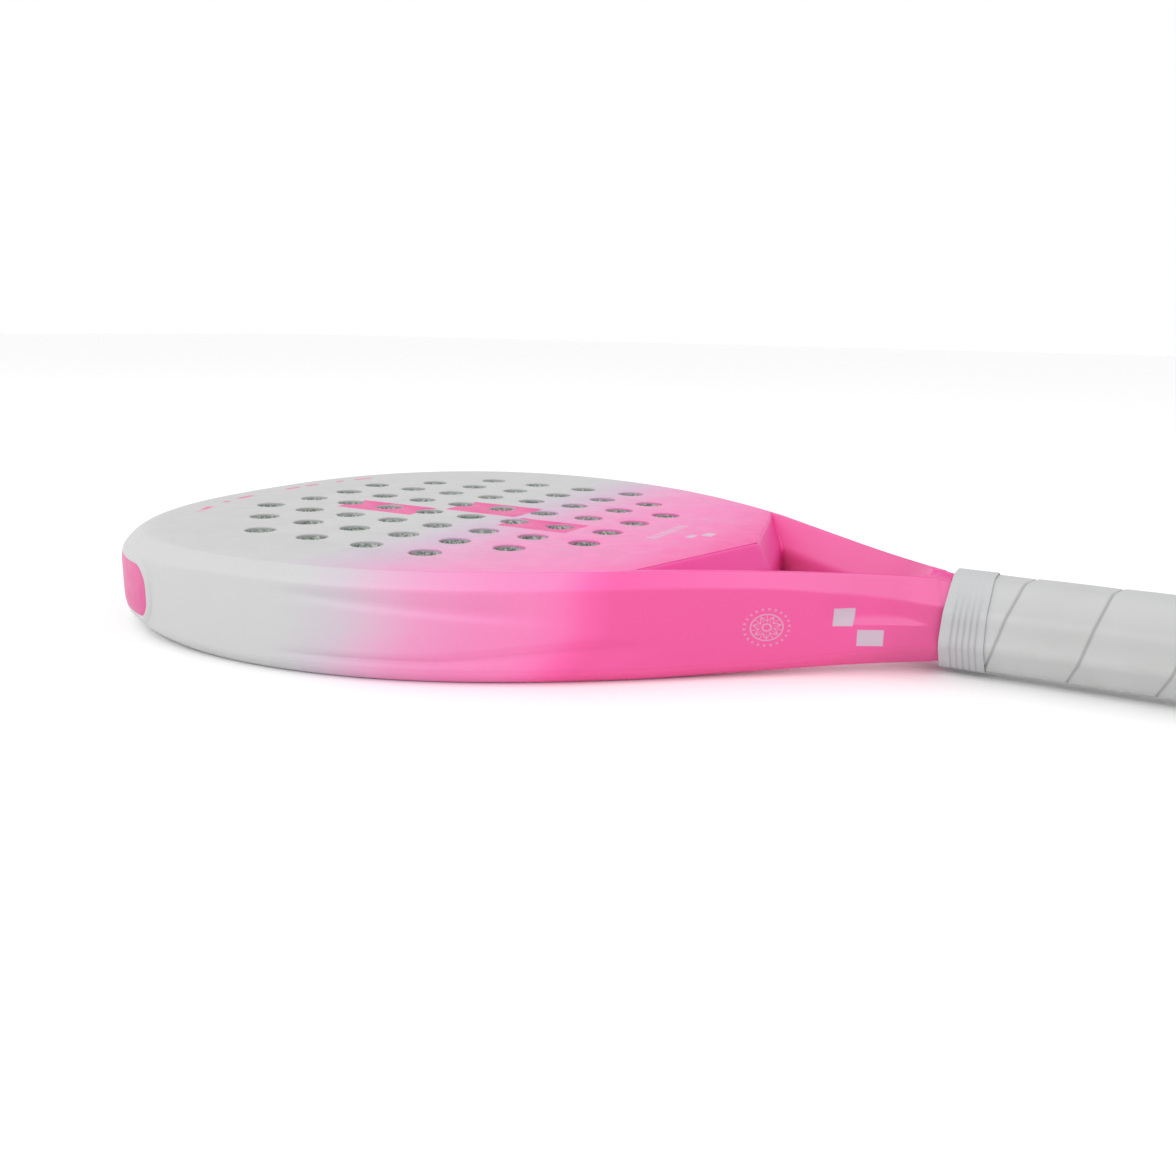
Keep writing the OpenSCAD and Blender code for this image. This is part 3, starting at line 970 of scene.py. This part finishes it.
# The paint along the racket, as distance from mid length in mm and tone
FACE_TONES = (
    (-92, (212, 211, 212)), (-78, (214, 203, 214)), (-66, (221, 193, 214)), (-52, (236, 177, 210)),
    (-36, (244, 166, 206)), (-12, (248, 156, 203)), (6, (249, 146, 198)), (20, (248, 134, 187)),
    (34, (248, 120, 178)), (50, (244, 120, 176)),
)
# A lighter copy of the paint for the up-facing bevel: painted sheen.
BEVEL_SHEEN_TONES = (
    (-80, (217, 217, 218)), (-66, (220, 209, 219)), (-52, (238, 189, 218)), (-38, (248, 170, 213)),
    (-20, (253, 155, 207)), (-2, (254, 146, 204)), (8, (255, 118, 190)), (15, (255, 110, 181)),
    (50, (254, 122, 184)), (84, (247, 124, 180)), (104, (244, 122, 176)),
)
# The last stop, darker and greyer by the collar, is painted shade.
SIDE_TONES = (
    (-86, (211, 211, 211)), (-74, (210, 205, 210)), (-64, (216, 197, 212)), (-52, (231, 179, 208)),
    (-40, (241, 158, 201)), (-24, (245, 144, 195)), (-8, (249, 137, 192)), (1, (252, 124, 187)),
    (8, (251, 105, 174)), (14, (244, 98, 165)), (84, (240, 97, 162)), (104, (224, 94, 151)),
)

MARK_PINK = tone((239, 118, 171), FACE_LIGHT)
FACE_PRINT = tone((222, 205, 218), FACE_LIGHT)
SIDE_PRINT = tone((207, 195, 208), SIDE_LIGHT)
PAINT_FROM, PAINT_TO = -0.100, 0.108


def gradient(n, x, tones, light):
    """White at the tip, pink from the middle of the head, the full colour past the shoulder."""
    stops = []
    for mm, rgb in tones:
        stops.append(((mm * MM - PAINT_FROM) / (PAINT_TO - PAINT_FROM), tone(rgb, light, mm)))
    return n.ramp(n.range(x, PAINT_FROM, PAINT_TO), stops)


def paint(name, marks, flat_only=False):
    """The lacquer: its tone follows the distance along the racket; on the frame it also carries painted light
    by which way the surface faces: a painted sheen on the up-facing bevel and lighter paint on down-facing
    sides to offset their shade.
    """
    n = Nodes(name)
    x, y, z = n.xyz()
    along = n.math("ADD", x, n.times(n.minus(n.noise(6.0, 1.0), 0.5), 0.004))
    up = n.normal()[2]
    colour = gradient(n, along, FACE_TONES, FACE_LIGHT)
    if not flat_only:
        below = n.most(n.minus(0.019, z), 0.0)
        slanted = n.math("MULTIPLY_ADD", below, 0.7, along)
        side = gradient(n, slanted, SIDE_TONES, SIDE_LIGHT)
        # Painted light: down-facing sides take a lighter copy of the side paint to offset their shade.
        under = gradient(n, slanted, SIDE_TONES, UNDER_LIGHT)
        side = n.blend(n.range(up, -0.2, -0.6, smooth=True), side, under)
        # Painted sheen: the up-facing bevel near the top takes the lighter bevel tones.
        bevel = gradient(n, along, BEVEL_SHEEN_TONES, BEVEL_LIGHT)
        lit = n.times(n.range(up, 0.15, 0.68, smooth=True), n.range(z, 0.0172, 0.0190))
        flat = n.range(n.math("ABSOLUTE", up), 0.85, 0.98, smooth=True)
        colour = n.blend(flat, n.blend(lit, side, bevel), colour)
    colour = n.shade(colour, n.scatter(0.996, 1.004, 60.0, 4.0, 0.6))
    n.set(Base_Color=marks(n, colour, x, y, z, up), Roughness=n.scatter(0.36, 0.44, 140.0))
    n.set(Specular_IOR_Level=0.2)
    n.bump(n.noise(900.0, 2.0), 0.04, 0.0002)
    return n.mat


def side_marks(n, colour, x, y, z, up):
    """A plain roundel of rings and dashes, and two staggered blocks, on both arms' sides."""
    dx, dz = n.minus(x, 0.0556), n.minus(z, 0.0184)
    r = n.radius(dx, dz)
    ang = n.math("ARCTAN2", dz, dx)
    ring_line = n.band(r, 0.0044, 0.0048, 0.0001)
    petals = n.sine(ang, 7.0)
    wave = n.math("MULTIPLY_ADD", petals, 0.0007, 0.0030)
    flower, core = [n.range(n.away(r, at), 0.00012, 0.0003, 1.0, 0.0) for at in (wave, 0.0012)]
    ray = n.range(n.math("ABSOLUTE", petals), 0.97, 0.99)
    spokes = n.times(ray, n.band(r, 0.0012, 0.0044, 0.0001))
    dashes = n.range(n.sine(ang, 22.0), 0.25, 0.5)
    outer = n.times(n.band(r, 0.0060, 0.0068, 0.0001), dashes)
    inner = n.most(ring_line, flower, core, spokes)
    bars = n.boxes(x, z, ((0.0745, 0.0805, 0.0185, 0.0245), (0.0820, 0.0900, 0.0115, 0.0172)))
    mask = n.most(n.times(inner, 0.62), n.times(outer, 0.42), n.times(bars, 0.92))
    # only where the surface faces away from the racket's centre plane
    outwards = n.times(n.normal()[1], n.math("SIGN", y))
    return n.blend(n.times(mask, n.range(outwards, 0.25, 0.35)), colour, SIDE_PRINT)


BLOCKS = ((-0.152, -0.112, -0.024, -0.004), (-0.108, -0.072, -0.004, 0.020), (-0.068, -0.036, -0.024, -0.004))


def face_marks(n, colour, x, y, z, up):
    """Staggered blocks over the holes, dashes round the tip, and small print and a faint ring by the throat."""
    blocks = n.times(n.boxes(x, y, BLOCKS), n.range(n.math("ABSOLUTE", up), 0.6, 0.8))
    colour = n.blend(n.times(blocks, 0.95), colour, MARK_PINK)
    # dashes follow an inner copy of the tip's outline
    ex = n.math("DIVIDE", n.minus(x, wide_x * MM), (wide_x - tip_x) * MM)
    ey = n.math("DIVIDE", y, half_w * MM)
    powers = [n.math("POWER", n.math("ABSOLUTE", v), TIP_POWER) for v in (ex, ey)]
    rr = n.math("POWER", n.math("ADD", *powers), 1 / TIP_POWER)
    ang = n.math("ARCTAN2", ey, n.times(ex, -1.0))
    beat = n.math("ADD", *[n.sine(ang, count) for count in (42.0, 17.0)])
    dashes = n.times(n.range(beat, 0.1, 0.25), n.band(rr, 0.782, 0.806, 0.001))
    dashes = n.times(dashes, n.band(ang, -0.66, 0.66, 0.004))
    colour = n.blend(n.times(dashes, 0.75), colour, MARK_PINK)
    # small print by the throat
    dotted = n.range(n.sine(y, 1700.0), -0.1, 0.1)
    line = n.times(n.box(x, -0.0055, -0.0010, y, -0.016, 0.018), dotted)
    bars = n.boxes(x, y, ((0.0070, 0.0100, -0.006, 0.001), (0.0108, 0.0150, 0.001, 0.008)))
    r = n.radius(n.minus(x, 0.0030), n.minus(y, 0.0410))
    faint = n.times(n.band(r, 0.0066, 0.0071, 0.0001), 0.35)
    slanted = n.math("MULTIPLY_ADD", y, -0.40, x)
    thin = n.times(n.box(slanted, 0.0205, 0.0222, y, -0.050, -0.030), 0.45)
    thin = n.times(thin, n.range(n.sine(y, 2300.0), -0.2, 0.1))
    return n.blend(n.times(n.most(line, bars, faint, thin), 0.8), colour, FACE_PRINT)


def deeper(n, colour, x, y, z, up):
    """The bridge's sloping faces get a deeper pink than the arms."""
    deep = n.blend(1.0, colour, (1.04, 0.62, 0.97, 1.0), "MULTIPLY")
    return n.blend(n.range(up, 0.95, 0.7), colour, deep)


def panel_pink():
    n = Nodes("panel_pink")
    low, high = tone((228, 134, 174), PANEL_LIGHT), tone((234, 140, 180), PANEL_LIGHT)
    n.set(Base_Color=n.ramp(n.range(n.xyz()[2], 0.008, 0.030), [(0.0, low), (1.0, high)]))
    n.set(Roughness=n.scatter(0.34, 0.44, 200.0))
    n.bump(n.noise(700.0), 0.1, 0.0002)
    return n.mat


def cut_foam():
    """Coarse grey-green foam, with the paint's overspray near the faces."""
    n = Nodes("cut_foam")
    x, y, z = n.xyz()
    depth = n.minus(0.019, n.away(z, 0.019))
    ragged = n.math("MULTIPLY_ADD", n.minus(n.noise(260.0), 0.5), 0.0014, depth)
    grain = n.noise(700.0, 5.0, 0.75)
    foam = n.ramp(grain, [(0.38, srgb(104, 116, 108)), (0.5, srgb(164, 176, 168)), (0.60, srgb(218, 224, 218))])
    foam = n.blend(n.range(n.voronoi(900.0), 0.14, 0.30, 0.85, 0.0), foam, srgb(66, 74, 69))
    over = gradient(n, x, SIDE_TONES, SIDE_LIGHT)
    n.set(Base_Color=n.blend(n.range(ragged, 0.0008, 0.0014, 0.7, 0.0), foam, over), Roughness=0.85)
    n.bump(grain, 0.5, 0.0006)
    return n.mat


def even_out(n, colour, z):
    """Painted light and shade: the handle's shaded underside is made a little lighter and its middle a little
    darker.
    """
    low = n.range(z, 0.006, 0.016, 1.10, 1.0)
    mid = n.range(n.away(z, 0.0235), 0.003, 0.008, 0.95, 1.0)
    return n.shade(colour, n.times(low, mid))


def grip_cushion():
    """Off-white tape with clouds, patches that darken the sides towards the bottom, painted shade in the seams
    and in a few dents.
    """
    n = Nodes("grip_cushion")
    z = n.xyz()[2]
    base = n.between(n.noise(26.0, 4.0, 0.55), tone((199, 200, 199)), tone((207, 209, 208)))
    # Patches that darken the sides, stronger towards the bottom.
    low_blotches = n.times(n.range(n.noise(55.0, 5.0, 0.65), 0.52, 0.72), n.range(z, 0.026, 0.008), 0.30)
    base = n.blend(low_blotches, base, srgb(166, 166, 163))
    # Painted shade along the seams between turns.
    seam = n.new("Attribute")
    seam.attribute_name = "seam"
    base = n.blend(n.times(seam.outputs["Fac"], 0.55), base, srgb(120, 120, 118))
    # Painted shade in the dents.
    dents = n.range(n.voronoi(85.0), 0.035, 0.075)
    kept = n.range(n.noise(31.0, 1.0), 0.56, 0.60)
    smooth = n.most(dents, n.minus(1.0, kept))
    base = n.blend(n.times(n.minus(1.0, smooth), 0.35), base, srgb(140, 140, 138))
    n.set(Base_Color=even_out(n, base, z), Roughness=n.scatter(0.46, 0.58, 300.0))
    n.bump(n.math("ADD", n.times(n.noise(1500.0, 2.0), 0.25), smooth), 0.35, 0.0003)
    return n.mat


def collar_rubber():
    """Light rubber with painted shade in its grooves, stronger low down; the grooves lean back with the
    collar's front.
    """
    n = Nodes("collar_rubber")
    base = n.between(n.noise(40.0, 4.0), tone((199, 201, 203)), tone((204, 206, 208)))
    x, y, z = n.xyz()
    first, pitch = (collar_lo[0] + GROOVE_FROM) * MM, GROOVE_PITCH * MM
    front, length = collar_lo[0] * MM, (collar_hi[0] - collar_lo[0]) * MM
    lean = n.range(z, collar_lo[2] * MM, collar_hi[2] * MM, 0.0, COLLAR_LEAN * MM)
    behind = n.minus(n.minus(x, front), lean)
    share = n.math("DIVIDE", behind, n.minus(length, lean))
    x = n.math("MULTIPLY_ADD", share, length, front)
    wave = n.math("COSINE", n.times(n.minus(x, first), 2 * math.pi / pitch))
    # Painted shade in the grooves, fading out towards the top.
    groove_shade = n.times(n.range(wave, 0.1, 1.0), n.range(z, 0.031, 0.022))
    groove_shade = n.times(groove_shade, n.band(x, first - pitch / 2, first + (GROOVES - 0.5) * pitch, 0.0003))
    base = n.blend(n.times(groove_shade, 0.42), base, srgb(132, 132, 132))
    n.set(Base_Color=even_out(n, base, z), Roughness=n.scatter(0.50, 0.62, 400.0))
    n.bump(n.noise(1200.0, 2.0), 0.18, 0.0002)
    return n.mat


TAPE_TONES = tone((202, 203, 204)), tone((208, 209, 210))


def tape_film():
    n = Nodes("tape_film")
    n.set(Base_Color=n.between(n.noise(70.0), *TAPE_TONES), Roughness=0.42)
    n.bump(n.noise(500.0, 3.0, 0.6, (0.2, 1.0, 1.0)), 0.15, 0.0002)
    return n.mat


def moulded_cap():
    n = Nodes("moulded_cap")
    n.set(Base_Color=n.between(n.noise(50.0), *TAPE_TONES), Roughness=n.scatter(0.42, 0.54, 350.0))
    n.bump(n.noise(1600.0, 2.0), 0.25, 0.0002)
    return n.mat


def light_foam():
    n = Nodes("light_foam")
    cells = n.voronoi(600.0)
    n.set(Base_Color=n.ramp(cells, [(0.0, srgb(228, 224, 198)), (0.6, srgb(204, 198, 168))]), Roughness=0.9)
    n.bump(cells, 0.5, 0.0005)
    return n.mat


def bare_laminate():
    """Dark cloth with a fine weave."""
    n = Nodes("bare_laminate")
    x, y, z = n.xyz()
    weave = n.math("SINE", n.times(n.math("ADD", x, y), 2400.0))
    weft = n.math("SINE", n.times(n.minus(x, z), 2400.0))
    cloth = n.math("MULTIPLY_ADD", n.times(weave, weft), 0.5, 0.5)
    n.set(Base_Color=n.between(cloth, srgb(24, 24, 26), srgb(52, 52, 55)), Roughness=0.5)
    n.bump(cloth, 0.3, 0.0003)
    return n.mat


def dress(obj, mat):
    obj.data.materials.clear()
    obj.data.materials.append(mat)
    return obj


# ---------------- build

mats = {
    "frame": paint("paint_frame", side_marks),
    "face": paint("paint_face", face_marks, flat_only=True),
    "bridge": paint("paint_bridge", deeper),
    "panel": panel_pink(),
    "foam": cut_foam(),
    "grip": grip_cushion(),
    "collar": collar_rubber(),
    "tape": tape_film(),
    "cap": moulded_cap(),
    "light_foam": light_foam(),
    "laminate": bare_laminate(),
}


def piece(obj, mat, nodes=(), body="racket"):
    dress(obj, mats[mat])
    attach(obj, body)
    if nodes:
        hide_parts(*nodes)
    return obj


piece(make_frame_shell(), "frame", ["frame_tube"])
piece(make_tube_foam(), "light_foam", ["frame_foam"])
piece(make_plate("face_upper", 1), "face", ["face_top"])
piece(make_plate("face_lower", -1), "face", ["face_bottom"])
piece(make_core(), "foam", ["core"])
piece(make_bridge(), "bridge", ["bridge"])
piece(make_corner_fillet("throat_fillet_far", 1), "bridge")
piece(make_corner_fillet("throat_fillet_near", -1), "bridge")
piece(make_tip_rim(), "frame")
piece(make_inset(), "panel", ["tip_inset"])
piece(make_grip(), "grip", ["base_grip"])
piece(make_tape(), "tape", ["finishing_tape"])
piece(make_butt_cap(), "cap", ["butt_cap"])
piece(make_collar(), "collar", ["collar"], body="collar")
for name, mat in (("bridge_foam", "light_foam"), ("handle_sleeve", "laminate")):
    dress(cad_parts[name], mats[mat])

# ---------------- floor, light and camera


def make_floor():
    corners = [(-6000, -6000, 0), (6000, -6000, 0), (6000, 6000, 0), (-6000, 6000, 0)]
    floor = raw_mesh("floor", corners, [(0, 1, 2, 3)])
    floor.location.z = -0.0002
    n = Nodes("floor_paper")
    n.set(Base_Color=n.grey(n.scatter(0.955, 0.965, 300.0)), Roughness=0.9, Specular_IOR_Level=0.1)
    dress(floor, n.mat)


def make_light():
    """A white surround and one soft key light from the near side."""
    world = bpy.data.worlds.new("studio")
    bpy.context.scene.world = world
    world.use_nodes = True
    bg = world.node_tree.nodes["Background"]
    bg.inputs[0].default_value = (1, 1, 1, 1)
    bg.inputs[1].default_value = 1.0
    data = bpy.data.lights.new("key", "AREA")
    data.size, data.energy = 1.1, 10.7
    light = bpy.data.objects.new("key", data)
    light.location = (-0.15, -1.25, 1.2)
    aim = Vector((0, 0, 0.02)) - light.location
    light.rotation_mode = "QUATERNION"
    light.rotation_quaternion = aim.to_track_quat("-Z", "Y")
    bpy.context.scene.collection.objects.link(light)


def make_camera():
    """The camera that was fitted to the photo."""
    data = bpy.data.cameras.new("camera")
    cam = bpy.data.objects.new("camera", data)
    bpy.context.scene.collection.objects.link(cam)
    data.sensor_width = 36.0
    data.lens = 36.0 * 1097 / 1176
    yaw, pitch, roll = math.radians(28.317), math.radians(-13.6), math.radians(0.946)
    forward = Vector(
        (-math.sin(yaw) * math.cos(pitch), math.cos(yaw) * math.cos(pitch), math.sin(pitch))
    )
    turn = forward.to_track_quat("-Z", "Y").to_matrix() @ Matrix.Rotation(roll, 3, "Z")
    cam.matrix_world = Matrix.Translation((0.1726, -0.3914, 0.1183)) @ turn.to_4x4()
    data.clip_start, data.clip_end = 0.01, 50
    bpy.context.scene.camera = cam


make_floor()
make_light()
make_camera()
bpy.context.scene.view_settings.view_transform = "Standard"
